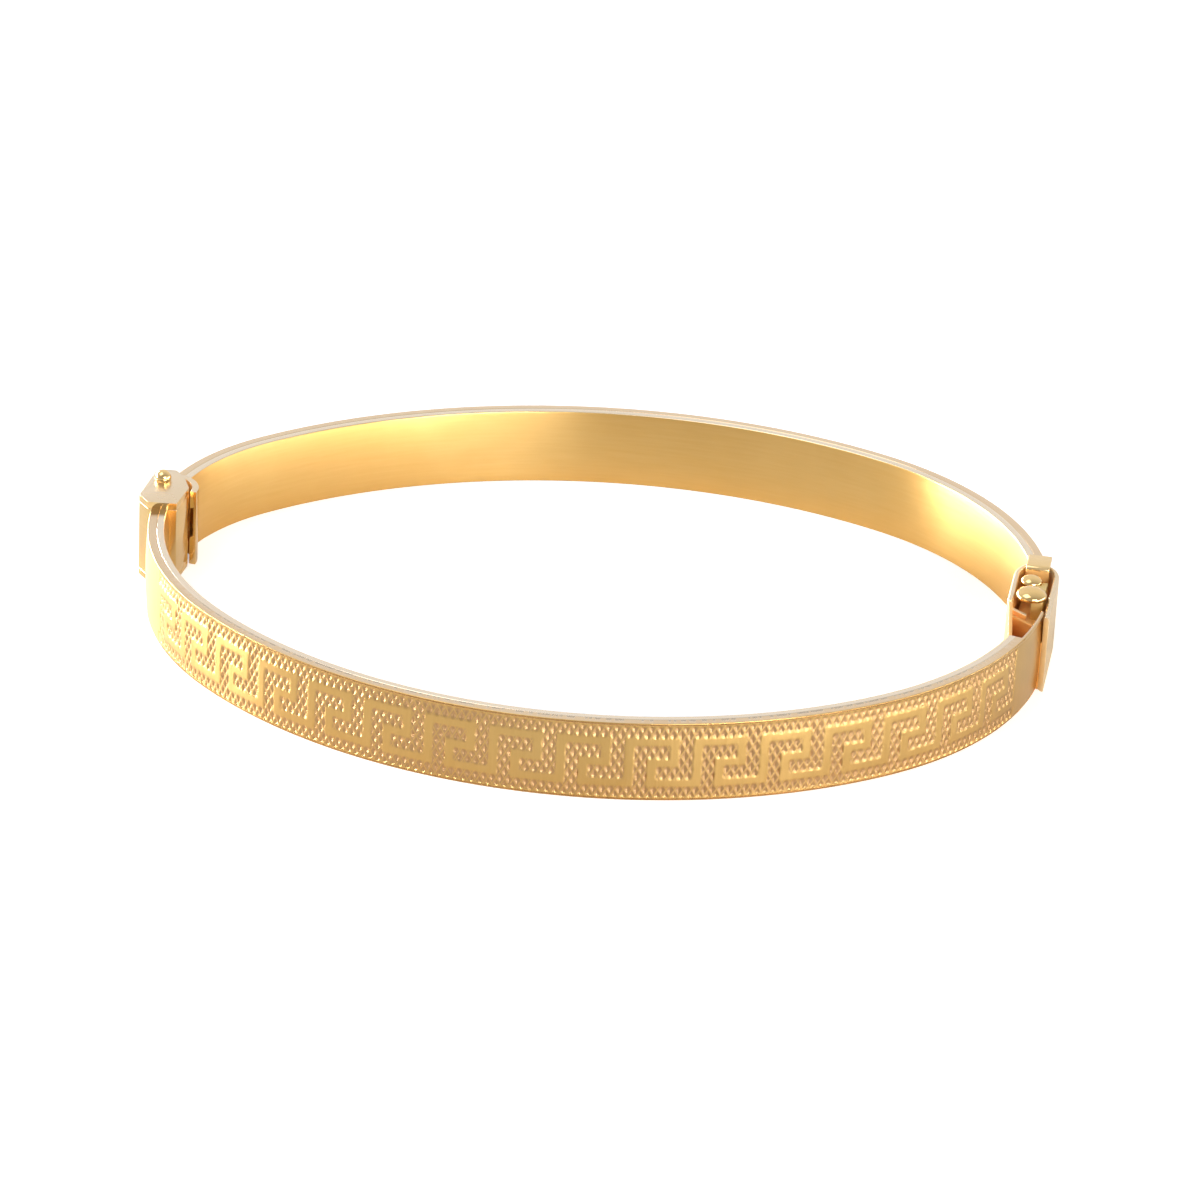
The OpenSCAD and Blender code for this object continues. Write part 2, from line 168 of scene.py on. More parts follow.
def half_oval(hinge_r, mid_r, clasp_r):
    """The arcs of one half, from the hinge line to the clasp line: centre, radius, first angle, length."""
    hinge_c = np.array([hinge_r - bangle_w / 2, 0])
    clasp_c = np.array([bangle_w / 2 - clasp_r, 0])
    span = bangle_w - hinge_r - clasp_r
    to_hinge, to_clasp = mid_r - hinge_r, mid_r - clasp_r
    along = (to_hinge**2 - to_clasp**2 + span**2) / (2 * span)
    mid_c = hinge_c + [along, math.sqrt(to_hinge**2 - along**2)]
    joins = [2 * math.pi + math.atan2(*(centre - mid_c)[::-1]) for centre in (hinge_c, clasp_c)]
    turns = [math.pi, *joins, 2 * math.pi]
    return [(centre, radius, first, radius * (last - first)) for centre, radius, first, last in
            zip((hinge_c, mid_c, clasp_c), (hinge_r, mid_r, clasp_r), turns, turns[1:])]


def on_oval(arcs, side, along):
    """Points of the outer face at distances along it, and the outward directions there."""
    point = np.zeros((*along.shape, 2))
    out = np.zeros((*along.shape, 2))
    start = 0
    for centre, radius, first, length in arcs:
        here = (along >= start)[..., None]
        turn = first + (along - start) / radius
        direction = np.stack([np.cos(turn), np.sin(turn)], -1)
        point = np.where(here, centre + radius * direction, point)
        out = np.where(here, direction, out)
        start += length
    return oval_centre + point * [1, side], out * [1, side]


def where_met(arcs, side, depth, first, last, is_past):
    """Distance along a half at which each depth of its wall meets another piece, found by halving."""
    low, high = np.full(depth.shape, first), np.full(depth.shape, last)
    for _ in range(halvings):
        middle = (low + high) / 2
        point, out = on_oval(arcs, side, middle)
        past = is_past(point - out * depth[..., None])
        low, high = np.where(past, low, middle), np.where(past, middle, high)
    return low


def is_level(polygon):
    """The second finish for the faces of a rim or a plate, which look up or down."""
    return int(abs(polygon.normal.z) > level_slope)


def finish_mesh(name, mesh, finishes, sharp_deg=32, pick=is_level):
    """A new object from a mesh, smooth except across sharp edges; a rule picks each face's finish."""
    mesh.materials.clear()
    for finish in finishes:
        mesh.materials.append(finish)
    if len(finishes) > 1:
        mesh.polygons.foreach_set("material_index", [pick(polygon) for polygon in mesh.polygons])
    mesh.shade_smooth()
    mesh.set_sharp_from_angle(angle=math.radians(sharp_deg))
    piece = bpy.data.objects.new(name, mesh)
    bpy.context.scene.collection.objects.link(piece)
    return piece


def stand_for(piece, node, body):
    """The piece takes a solid's place and moves with a body."""
    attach(piece, body)
    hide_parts(node)


def skin(name, places, finishes, crossed=None, marks=None, pick=is_level):
    """A closed strip of faces over rows of ring points; crossed marks quads to split at their middles."""
    order = np.arange(places.shape[0] * places.shape[1]).reshape(places.shape[:2])
    following = np.roll(order, -1, 1)
    sides = np.stack([order[:-1], following[:-1], following[1:], order[1:]], -1)
    if crossed is None:
        crossed = np.zeros(sides.shape[:2], bool)
    split = sides[crossed]
    middles = order.size + np.arange(len(split))
    faces = [order[0].tolist(), order[-1].tolist(), *sides[~crossed].tolist()]
    for corner in range(4):
        faces += np.stack([split[:, corner], split[:, (corner + 1) % 4], middles], -1).tolist()

    def with_middles(values):
        values = values.reshape(order.size, -1)
        return np.vstack([values, values[split].mean(1)])

    mesh = bpy.data.meshes.new(name)
    mesh.from_pydata(with_middles(places), [], faces)
    for mark, values in (marks or {}).items():
        listed = with_middles(values).astype(np.float32)
        kind, field = ("FLOAT_VECTOR", "vector") if listed.shape[1] == 3 else ("FLOAT", "value")
        mesh.attributes.new(mark, kind, "POINT").data.foreach_set(field, listed.ravel())
    shape = bmesh.new()
    shape.from_mesh(mesh)
    bmesh.ops.recalc_face_normals(shape, faces=shape.faces)
    shape.to_mesh(mesh)
    shape.free()
    return finish_mesh(name, mesh, finishes, pick=pick)


def sheet_finish(polygon):
    """Bright face, rims in a paler tone that is a painted sheen, and the side inside the hollow band in a
    deep tone that paints bounced light.
    """
    if is_level(polygon):
        return 1
    return 2 * int(polygon.normal.xy.dot(polygon.center.xy - Vector(oval_centre)) < 0)


def loft(name, arcs, side, along, depth, height, finishes, crossed=None, pick=sheet_finish):
    """A closed strip along a half: rows of ring points, each by distance along it, depth and height."""
    point, out = on_oval(arcs, side, along)
    marks = {"along": along, "outward": np.dstack([out, np.zeros(along.shape)])}
    return skin(name, np.dstack([point - out * depth[..., None], height]), finishes, crossed, marks, pick)


def round_edge(radius, steps=4):
    """Offsets of a rounded edge, from the face to the rim, as (depth, drop from the rim)."""
    turns = np.linspace(0, math.pi / 2, steps + 1)
    return radius * (1 - np.cos(turns)), radius * (1 - np.sin(turns))


def sheet_ring(face_heights, face_crown, rounding, lip, wall, line=0):
    """A folded sheet's section from mid height up: face, scored line, rounded edge, rim, lip, inside."""
    face_depth = face_crown * ((face_heights - band_mid) / band_mid) ** 2
    if line:
        face_depth = np.append(face_depth, face_depth[-1] + [line, 0])
        face_heights = np.append(face_heights, face_heights[-1] + [line / 2, line])
    edge_depth, edge_drop = round_edge(rounding)
    edge_depth = edge_depth + face_depth[-1]
    depth = np.concatenate([face_depth, edge_depth[1:], [lip - seam_r, lip, lip, wall]])
    height = np.concatenate([face_heights, band_h - edge_drop[1:],
                             [band_h, band_h - seam_r, band_h - lip_h, band_h - sheet_t]])
    return depth, height


def whole_ring(half):
    """A full section from its upper half, mirrored about mid height."""
    depth, height = half
    return np.concatenate([depth, depth[:0:-1]]), np.concatenate([height, band_h - height[:0:-1]])


def from_pit_middle(column, row):
    """How far a point of the ground is from its pit's middle: nought there, and a half on the ridges."""
    slants = [abs(line - line.math("ROUND", line)) for line in (column + row, column - row)]
    return slants[0].most(slants[1])


def gold(name, tone, deep_tone, roughness, grain, brushed=0.0, metal=1.0, lines=(260, 260, 5200), pit_shade_tone=None):
    """Gold with a cloudy polish, fine grain and hairlines; pits get a darker tone that is painted shade in
    the hollows.
    """
    material = bpy.data.materials.new(name)
    material.use_nodes = True
    shader = material.node_tree.nodes["Principled BSDF"]
    wire = Wire(material.node_tree)
    place = wire.node("ShaderNodeTexCoord", output="Object")
    cloud = wire.node("ShaderNodeTexNoise", {"Vector": place, "Scale": 130, "Detail": 3, "Roughness": 0.55})
    fine = wire.node("ShaderNodeTexNoise", {"Vector": place, "Scale": 9000, "Detail": 2})
    streaks = wire.node("ShaderNodeTexNoise", {
        "Vector": wire.node("ShaderNodeMapping", {"Vector": place, "Scale": lines}),
        "Scale": 1, "Detail": 4, "Roughness": 0.6})
    noise_middle, even_tone = 0.5, 0.51
    cloud_tone, streak_tone = 1.4, 1.2
    cloud_polish, streak_polish = 0.10, 0.08
    cloudy, streaky = cloud - noise_middle, streaks - noise_middle
    lightness = (cloudy * cloud_tone + streaky * streak_tone + even_tone).share()
    colour = lightness.mixed((*deep_tone, 1), (*tone, 1))
    polish = roughness + cloudy * cloud_polish + streaky * streak_polish
    # Painted shade: the diamond pits of the ground are mixed toward a darker tone, which stands for the
    # shade in the hollows.
    if pit_shade_tone is not None:
        ridge_place, ridge_softness = 0.46, 0.06
        pit_shade_strength, cut_dulling = 0.9, 0.06
        run = wire.node("ShaderNodeAttribute", output="Fac", attribute_name="along") - first_key
        lift = wire.node("ShaderNodeSeparateXYZ", {"Vector": place}, output="Z") - band_mid
        ground = wire.node("ShaderNodeAttribute", output="Fac", attribute_name="ground")
        within_ridges = ridge_place - from_pit_middle(run / pit_w, lift / (2 * row_h))
        pit_shade_mask = (within_ridges / ridge_softness).share() * ground
        colour = (pit_shade_mask * pit_shade_strength).mixed(colour, (*pit_shade_tone, 1))
        polish = polish + pit_shade_mask * cut_dulling
    grain_h, streak_h = 0.6, 0.8
    bump = wire.node("ShaderNodeBump", {
        "Height": fine * grain_h + streaks * streak_h, "Strength": grain, "Distance": 0.02 * MM},
        output="Normal")
    for socket, value in (("Base Color", colour), ("Roughness", polish.share()), ("Normal", bump)):
        material.node_tree.links.new(value.socket, shader.inputs[socket])
    shader.inputs["Metallic"].default_value = metal
    shader.inputs["Anisotropic"].default_value = brushed
    shader.inputs["Anisotropic Rotation"].default_value = 0.25
    return material


# The engraved gold's darker pit tone is painted shade in the diamond pits.
engraved_gold = gold("engraved_gold", (0.68, 0.435, 0.155), (0.61, 0.37, 0.12), roughness=0.30, grain=0.35,
                     brushed=0.85, lines=(4200, 4200, 260), pit_shade_tone=(0.53, 0.315, 0.15))
# Painted sheen: the rims' paler tone stands for the bright, pale reflection on their level faces.
sheet_rim_painted_sheen_gold = gold("sheet_rim_painted_sheen_gold", (0.76, 0.58, 0.38), (0.70, 0.51, 0.32), roughness=0.2, grain=0.15)
# Painted bounced light: inner and hidden faces get a deep orange, mostly matte tone for light bounced
# between the gold walls; their rough finish is real.
inside_gold = gold("inside_gold", (0.98, 0.58, 0.21), (0.92, 0.50, 0.15), roughness=0.42, grain=0.4,
                   metal=0.2)

front_arcs = half_oval(*front_radii)
front_length = sum(length for *_, length in front_arcs)
front_depth = front_radii[1] - front_arcs[1][0][1]
oval_centre = np.array([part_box("clasp_box")[1].x - bangle_w / 2 - box_proud,
                        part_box("front_outer_shell")[0].y + front_depth])

pattern_end = first_key + key_count * key_unit - stroke_w / 2 + pit_w / 4
rim_end = front_length - rim_end_reach
row_step = row_h / steps_per_row
face_rows = int((band_mid - edge_r - line_w) / row_step)
upper_heights = np.append(band_mid + row_step * np.arange(face_rows + 1), band_h - edge_r - line_w)
closed_ring = whole_ring(sheet_ring(upper_heights, crown, edge_r, seam_depth, shell_wall, line_w))
bare_ring = whole_ring(sheet_ring(upper_heights, crown, edge_r, shell_wall, shell_wall, line_w))
wall_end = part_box("front_outer_shell")[1]


def past_mitre(place):
    """Whether a place is beyond the slanted joint with the clasp box."""
    joint_y = wall_end.y + joint_close - (place[..., 0] - wall_end.x) * math.tan(mitre)
    return place[..., 1] > joint_y


pit_step = pit_w / steps_per_pit
pattern_steps = np.arange(-steps_per_pit, int((rim_end - first_key) / pit_step))
stations = np.concatenate([
    np.arange(front_start, first_key - pit_w - band_step / 2, band_step),
    first_key + pit_step * pattern_steps, [rim_end]])
tail = np.linspace(0, 1, tail_steps)[:, None]
reach = where_met(front_arcs, 1, bare_ring[0], rim_end, front_length, past_mitre)
along = np.vstack([np.repeat(stations[:, None], len(reach), 1), rim_end + tail * (reach - rim_end)])
counts = (len(stations), len(tail))
depth, height = (np.repeat(np.array(pair), counts, 0) for pair in zip(closed_ring, bare_ring))
row_in_pattern = (along[:-1, 0] >= first_key - pit_w - pit_step / 2) & (along[1:, 0] <= rim_end)
ring_on_face = (depth[0] <= crown) & (np.roll(depth[0], -1) <= crown)
engraved_sheet = loft("engraved_front_sheet", front_arcs, 1, along, depth, height,
                      (engraved_gold, sheet_rim_painted_sheen_gold, inside_gold), row_in_pattern[:, None] & ring_on_face)

relief = bpy.data.node_groups.new("diamond_cut_key", "GeometryNodeTree")
relief.interface.new_socket("Geometry", in_out="OUTPUT", socket_type="NodeSocketGeometry")
relief.interface.new_socket("Geometry", in_out="INPUT", socket_type="NodeSocketGeometry")
relief_sizes = {
    "First key": first_key, "Key unit": key_unit, "Pits per key": pits_per_key, "Row height": row_h,
    "Stroke": stroke_w, "Border": border_h, "Mid height": band_mid,
    "Pattern start": first_key - stroke_w / 2, "Pattern end": pattern_end,
    "Ground drop": 0.015 * MM, "Pit depth": 0.11 * MM, "Pit share": 0.92,
    "Edge softness": 0.07 * MM, "Corner blend": 0.12 * MM, "Hook place": 0.655, "Foot place": 0.332}
relief_ids = {
    name: relief.interface.new_socket(name, in_out="INPUT", socket_type="NodeSocketFloat").identifier
    for name in relief_sizes}
group_in = relief.nodes.new("NodeGroupInput")
size = {socket.name: Wire(relief, socket) for socket in group_in.outputs if socket.name}
wire = Wire(relief)
place = wire.node("GeometryNodeInputPosition")
lift = wire.node("ShaderNodeSeparateXYZ", {"Vector": place}, output="Z") - size["Mid height"]
travel = wire.node("GeometryNodeInputNamedAttribute", {"Name": "along"}, data_type="FLOAT")
run = travel - size["First key"]
outward = wire.node("GeometryNodeInputNamedAttribute", {"Name": "outward"}, data_type="FLOAT_VECTOR")
facing = wire.node("ShaderNodeVectorMath", {0: outward, 1: wire.node("GeometryNodeInputNormal")},
                   operation="DOT_PRODUCT", output="Value")
in_key = run.math("FLOORED_MODULO", run, size["Key unit"])


def bar(left, right, low, high):
    """Distance outside one straight bar of the key; negative inside it."""
    half = size["Stroke"] * 0.5
    across = abs(in_key - (left + right) * 0.5) - (right - left) * 0.5 - half
    up = abs(lift - (low + high) * 0.5) - (high - low) * 0.5 - half
    return across.most(up)


top_row, mid_row, foot_row = (size["Row height"] * rows for rows in (3, 0, -3))
post, next_post = size["Key unit"] * 0, size["Key unit"]
hook, foot = (size["Key unit"] * size[place_name] for place_name in ("Hook place", "Foot place"))
bars = [bar(post, post, foot_row, top_row), bar(post, hook, top_row, top_row),
        bar(hook, hook, mid_row, top_row), bar(foot, hook, mid_row, mid_row),
        bar(foot, foot, foot_row, mid_row), bar(foot, next_post, foot_row, foot_row),
        bar(next_post, next_post, foot_row, top_row)]
outside = bars[0]
for next_bar in bars[1:]:
    outside = outside.math("SMOOTH_MIN", outside, next_bar, size["Corner blend"])
column = run / (size["Key unit"] / size["Pits per key"])
row = lift / (size["Row height"] * 2)
pit = (1 - from_pit_middle(column, row) * 2 / size["Pit share"]).share()
soft = size["Edge softness"]
on_face = ((facing - face_slope) * 4).share()
ground = (outside / soft).share() * ((size["Border"] - abs(lift)) / soft).share()
ground = ground * ((travel - size["Pattern start"]) / soft).share()
ground = ground * ((size["Pattern end"] - travel) / soft).share() * on_face
cut_depth = ground * (size["Ground drop"] + size["Pit depth"] * pit)
sunk = wire.node("ShaderNodeVectorMath", {0: outward, "Scale": cut_depth * -1}, operation="SCALE")
marked = wire.node("GeometryNodeStoreNamedAttribute", {
    "Geometry": size["Geometry"], "Name": "ground", "Value": ground}, data_type="FLOAT", domain="POINT")
engraved = wire.node("GeometryNodeSetPosition", {"Geometry": marked, "Offset": sunk})
realized = wire.node("GeometryNodeRealizeInstances", {"Geometry": engraved})
dressed = wire.node("GeometryNodeSetMaterial", {
    "Geometry": realized, "Selection": facing.math("GREATER_THAN", facing, face_slope),
    "Material": engraved_gold})
relief.links.new(dressed.socket, relief.nodes.new("NodeGroupOutput").inputs[0])

engraving = engraved_sheet.modifiers.new("engraving", "NODES")
engraving.node_group = relief
for name, value in relief_sizes.items():
    engraving[relief_ids[name]] = float(value)
depsgraph = bpy.context.evaluated_depsgraph_get()
engraved_mesh = bpy.data.meshes.new_from_object(engraved_sheet.evaluated_get(depsgraph), depsgraph=depsgraph)
engraved_sheet.modifiers.clear()
engraved_mesh.set_sharp_from_angle(angle=math.radians(pit_sharp_deg))
engraved_sheet.data = engraved_mesh
stand_for(engraved_sheet, "front_outer_shell", "front_half")


# Linings and plain rear sheet
# Polished sheet folded to the same section as the front sheet: a lining inside each half, set against the
# outer sheet's folded edges at a fine seam on the rim, and the plain outer sheet of the rear half.

band_t = 1.3 * MM
liner_crown = 0.16 * MM
liner_bulge = 0.1 * MM
liner_edge_r = 0.12 * MM
face_clear = 0.01 * MM
face_steps = 8
rear_radii = (17.5 * MM, 38 * MM, 23 * MM)
rear_end_reach = 5.4 * MM
collar_search = 9 * MM
rear_arcs = half_oval(*rear_radii)
rear_end = sum(length for *_, length in rear_arcs) - rear_end_reach
liner_gold = gold("liner_gold", (0.86, 0.57, 0.21), (0.80, 0.50, 0.16), roughness=0.34, grain=0.2,
                  brushed=0.8)
# Painted sheen: the lining rims' paler tone stands for the bright, pale reflection on their level faces.
liner_rim_painted_sheen_gold = gold("liner_rim_painted_sheen_gold", (0.82, 0.70, 0.55), (0.78, 0.65, 0.49), roughness=0.2, grain=0.15)
polished_gold = gold("polished_gold", (0.84, 0.60, 0.28), (0.78, 0.52, 0.21), roughness=0.13, grain=0.2)
plate_gold = gold("plate_gold", (0.80, 0.65, 0.46), (0.75, 0.59, 0.40), roughness=0.28, grain=0.15)

pin_low, pin_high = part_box("hinge_pin")
pin_axis = (pin_low + pin_high) / 2
collar_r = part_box("rear_hinge_collar")[1].x - pin_axis.x


def past_collar(place):
    """Whether a place is clear of the hinge's round collar."""
    return np.linalg.norm(place - pin_axis.xy, axis=-1) > collar_r - seam_r


def from_collar(ring):
    """Where each point of a section starts along the rear half, against the hinge's round collar."""
    return where_met(rear_arcs, -1, ring[0], 0.0, collar_search, past_collar)


def lining_finish(polygon):
    """A sheet's finishes for a lining, whose bright face is on the wrist's side."""
    return 1 if is_level(polygon) else 2 - sheet_finish(polygon)


def band_piece(name, node, body, finishes, arcs, side, start, end, ring, pick=lining_finish):
    """One plain sheet of the band; its start may differ from point to point of the section."""
    steps = np.linspace(0, 1, int((end - np.min(start)) / band_step))[:, None]
    grid = [np.repeat(values[None], len(steps), 0) for values in ring]
    along = start + steps * (end - start) + np.zeros(grid[0].shape)
    stand_for(loft(name, arcs, side, along, *grid, finishes, pick=pick), node, body)


def flipped(ring):
    """A lining's section: a sheet's section turned to face the wrist."""
    return band_t + liner_bulge - ring[0], ring[1]


plain_heights = np.linspace(band_mid, band_h - edge_r, face_steps)
plain_ring = whole_ring(sheet_ring(plain_heights, crown, edge_r, seam_depth, shell_wall))
plain_ring = (plain_ring[0].clip(face_clear), plain_ring[1])
liner_heights = np.linspace(band_mid, band_h - liner_edge_r, face_steps)
liner_lip = band_t + liner_bulge - seam_depth
liner_wall = sheet_t + liner_bulge
liner_ring = flipped(whole_ring(sheet_ring(liner_heights, liner_crown, liner_edge_r, liner_lip, liner_wall)))
lining = (liner_gold, liner_rim_painted_sheen_gold, inside_gold)
band_piece("front_lining", "front_inner_liner", "front_half", lining,
           front_arcs, 1, front_start, rim_end, liner_ring)
band_piece("rear_lining", "rear_inner_liner", "rear_half", lining,
           rear_arcs, -1, from_collar(liner_ring), rear_end, liner_ring)
band_piece("plain_rear_sheet", "rear_outer_shell", "rear_half",
           (polished_gold, sheet_rim_painted_sheen_gold, inside_gold),
           rear_arcs, -1, from_collar(plain_ring), rear_end, plain_ring, pick=sheet_finish)


# Hinge
# A faceted gold block soldered to the front half, closed above and below by plates, turns in a round collar
# on the rear half. A round-headed pin goes through the plates, the block and the rear half's knuckle.

merge_reach = 0.0005 * MM
flat_deg, edge_deg = 1, 25
seat_slope = 0.5
pin_r = 0.4 * MM
head_steps = 20


def eased(name, node, body, finishes, width, pick=is_level, source=None):
    """A copy of a solid with its edges eased, as a file and a polishing wheel leave them."""
    shape = bmesh.new()
    shape.from_mesh(source or frame["nodes"][node].data)
    bmesh.ops.remove_doubles(shape, verts=shape.verts, dist=merge_reach)
    bmesh.ops.dissolve_limit(shape, angle_limit=math.radians(flat_deg), verts=shape.verts, edges=shape.edges)
    shape.normal_update()
    sharp = [edge for edge in shape.edges
             if len(edge.link_faces) == 2 and edge.calc_face_angle(0) > math.radians(edge_deg)]
    bmesh.ops.bevel(shape, geom=sharp, offset=width, segments=3, profile=0.5, affect="EDGES",
                    clamp_overlap=True)
    mesh = bpy.data.meshes.new(name)
    shape.to_mesh(mesh)
    shape.free()
    stand_for(finish_mesh(name, mesh, finishes, sharp_deg=40, pick=pick), node, body)


def turned(name, node, body, material, outline, around=48):
    """A turned piece on the upright axis of a solid: its outline is (radius, height) from bottom to top."""
    low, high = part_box(node)
    axis = (low + high) / 2
    turns = np.linspace(0, 2 * math.pi, around, endpoint=False)
    places = [(axis.x + radius * math.cos(turn), axis.y + radius * math.sin(turn), z)
              for radius, z in outline[1:-1] for turn in turns]
    bottom, top = len(places), len(places) + 1
    order = np.arange(bottom).reshape(-1, around)
    following = np.roll(order, -1, 1)
    places += [(axis.x, axis.y, outline[0][1]), (axis.x, axis.y, outline[-1][1])]
    faces = np.stack([order[:-1], following[:-1], following[1:], order[1:]], -1).reshape(-1, 4).tolist()
    faces += [(bottom, after, here) for here, after in zip(order[0].tolist(), following[0].tolist())]
    faces += [(top, here, after) for here, after in zip(order[-1].tolist(), following[-1].tolist())]
    mesh = bpy.data.meshes.new(name)
    mesh.from_pydata(places, [], faces)
    stand_for(finish_mesh(name, mesh, (material,), sharp_deg=50), node, body)


def collar_finish(polygon):
    """Bright outside, plain rims, and the seat that the block turns in, in a deep tone that paints bounced
    light.
    """
    inward = (pin_axis - polygon.center).xy
    if is_level(polygon):
        return 1
    return 2 * int(polygon.normal.xy.dot(inward) > seat_slope * inward.length)


polished = (polished_gold, plate_gold)
eased("hinge_body", "hinge_block", "front_half", polished, width=0.07 * MM)
eased("hinge_cap", "hinge_top_plate", "front_half", polished, width=0.07 * MM)
eased("hinge_foot", "hinge_bottom_plate", "front_half", polished, width=0.07 * MM)
eased("hinge_knuckle", "rear_hinge_knuckle", "rear_half", (polished_gold,), width=0.05 * MM)
eased("hinge_collar", "rear_hinge_collar", "rear_half", (*polished, inside_gold),
      width=0.09 * MM, pick=collar_finish)

head_r = (pin_high.x - pin_low.x) / 2
head_z = pin_high.z - head_r
plate_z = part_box("hinge_top_plate")[1].z
seated = math.acos((head_z - plate_z) / head_r)
pin_outline = [(0, pin_low.z), (pin_r, pin_low.z), (pin_r, plate_z)]
pin_outline += [(head_r * math.sin(turn), head_z - head_r * math.cos(turn))
                for turn in np.linspace(seated, math.pi, head_steps)]
turned("hinge_pin_and_head", "hinge_pin", "front_half", polished_gold, pin_outline)


# Clasp box
# A sheet box with a rounded closed end, soldered to the rear half: floor, walls, a slotted plate across its
# mouth, and a small tab bent down over the closed end. Its inside is rough, in a deep tone that paints light
# bounced inside the box.

box_low, box_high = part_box("clasp_box")
box_middle = (box_low + box_high) / 2
box_wall = 0.4 * MM
top_r = 0.19 * MM
top_steps = 4
foot_r = 0.06 * MM
corner_rx, corner_ry = 1.05 * MM, 1.84 * MM
mouth_steps = np.array([0, 0.01, 0.03, 0.07]) * MM
mouth_share = np.array([0.72, 0.86, 0.96, 1])
rim_slope, wall_slope, mouth_slope = 0.4, 0.5, 0.6
tab_bend_r = 0.3 * MM
tab_bend_steps = 9
tab_lip_drop = 0.1 * MM
box_gold = gold("box_gold", (0.86, 0.64, 0.34), (0.80, 0.56, 0.26), roughness=0.26, grain=0.2)
# Painted highlight: a pale, half-matte tone on the mouth's end faces and the mouth plate's level edges
# stands for the bright light seen there.
mouth_painted_highlight_gold = gold("mouth_painted_highlight_gold", (0.92, 0.76, 0.52), (0.86, 0.68, 0.43), roughness=0.5, grain=0.4, metal=0.5)


def box_path(inset, steps=14):
    """Plan of the walls at an inset from the outside, from mouth to mouth; the mouth's edges are rounded."""
    turns = np.linspace(0, math.pi / 2, steps)
    out = np.stack([np.cos(turns) / corner_rx, np.sin(turns) / corner_ry], -1)
    out = out / np.linalg.norm(out, axis=1)[:, None]
    half_w = (box_high.x - box_low.x) / 2
    corner_x = half_w - corner_rx * (1 - np.cos(turns))
    corner_y = box_high.y - corner_ry * (1 - np.sin(turns))
    mouth_x = half_w - box_wall / 2 - (inset - box_wall / 2) * mouth_share
    mouth = np.stack([mouth_x, np.zeros(len(mouth_x))], -1)
    right = np.vstack([mouth, np.stack([corner_x, corner_y], -1) - out * inset])
    path = np.vstack([right, right[::-1] * [-1, 1]]) + [box_middle.x, 0]
    for k, step in enumerate(mouth_steps):
        for row in (k, -1 - k):
            path[row, 1] = box_low.y + (box_high.x - path[row, 0]) * math.tan(mitre) + step
    return path


def wall_finish(polygon):
    """Bright outside with a plain rim; the inner side has a deep tone that paints bounced light, and the
    mouth a pale tone that is a painted highlight.
    """
    normal, inward = polygon.normal, box_middle - polygon.center
    if normal.z > rim_slope:
        return 3
    if normal.x * math.sin(mitre) + normal.y * math.cos(mitre) < -mouth_slope:
        return 2
    return int(normal.xy.dot(inward.xy) > 0 and abs(normal.z) < wall_slope)


over_top = np.linspace(0, math.pi, 2 * top_steps + 1)
outer_top, inner_top = over_top[:top_steps + 1], over_top[top_steps:]
wall_inset = np.concatenate([
    [foot_r, 0], top_r * (1 - np.cos(outer_top)),
    box_wall - top_r * (1 + np.cos(inner_top)), [box_wall, box_wall - foot_r]])
wall_height = np.concatenate([
    [0, foot_r], band_h - top_r * (1 - np.sin(outer_top)),
    band_h - top_r * (1 - np.sin(inner_top)), [foot_r, 0]])
paths = [box_path(inset) for inset in wall_inset]
wall_places = np.stack([np.column_stack([path, np.full(len(path), height)])
                        for path, height in zip(paths, wall_height)], 1)
clasp_walls = skin("clasp_walls", wall_places, (box_gold, inside_gold, mouth_painted_highlight_gold, plate_gold),
                   pick=wall_finish)
stand_for(clasp_walls, "clasp_box", "rear_half")
eased("clasp_floor", "clasp_box_floor", "rear_half", (inside_gold,), width=0.04 * MM)
eased("clasp_mouth", "clasp_mouth_plate", "rear_half", (inside_gold, mouth_painted_highlight_gold),
      width=0.05 * MM)

tab_low, tab_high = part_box("clasp_keeper_tab")
tab_t = tab_high.z - band_h
tab_side = [(tab_high.y, band_h), (tab_high.y, tab_high.z)]
tab_side += [(tab_low.y + tab_bend_r * (1 - math.sin(turn)), tab_high.z - tab_bend_r * (1 - math.cos(turn)))
             for turn in np.linspace(0, math.pi / 2, tab_bend_steps)]
tab_side += [(tab_low.y, tab_low.z), (tab_low.y + tab_t, tab_low.z), (tab_low.y + tab_t, band_h)]
count = len(tab_side)
tab_faces = [tuple(range(count)), tuple(reversed(range(count, 2 * count)))]
tab_faces += [(i, i + count, (i + 1) % count + count, (i + 1) % count) for i in range(count)]
tab_mesh = bpy.data.meshes.new("tab")
tab_mesh.from_pydata([(x, y, z) for x in (tab_low.x, tab_high.x) for y, z in tab_side], [], tab_faces)


def tab_finish(polygon):
    """The tab is bright where it is bent over the end; its lip inside the box has a deep tone that paints
    the box's shade and bounced light.
    """
    return int(polygon.center.z < band_h - tab_lip_drop)


# Painted shade: the tab's lip inside the box takes the deep inside tone.
eased("clasp_tab", "clasp_keeper_tab", "rear_half", (box_gold, inside_gold),
      width=0.06 * MM, pick=tab_finish, source=tab_mesh)
bpy.data.meshes.remove(tab_mesh)


# Open front end
# Beyond its rim the front half is an open-topped sheet box with a slanted plate across its end. The
# tongue's tail is soldered through the plate, and the inside is rough, in a deep tone that paints light
# bounced inside it.

eased("end_walls", "front_end_box", "front_half", (inside_gold,), width=0.06 * MM)
eased("end_plate", "front_end_plate", "front_half", (inside_gold,), width=0.05 * MM)


# Spring tongue and thumb piece
# A strip of hard gold folded back on itself: the lower leaf is fixed, and the upper leaf springs and
# catches behind the mouth plate. A spine carries the domed knob and the bead that a thumb presses.

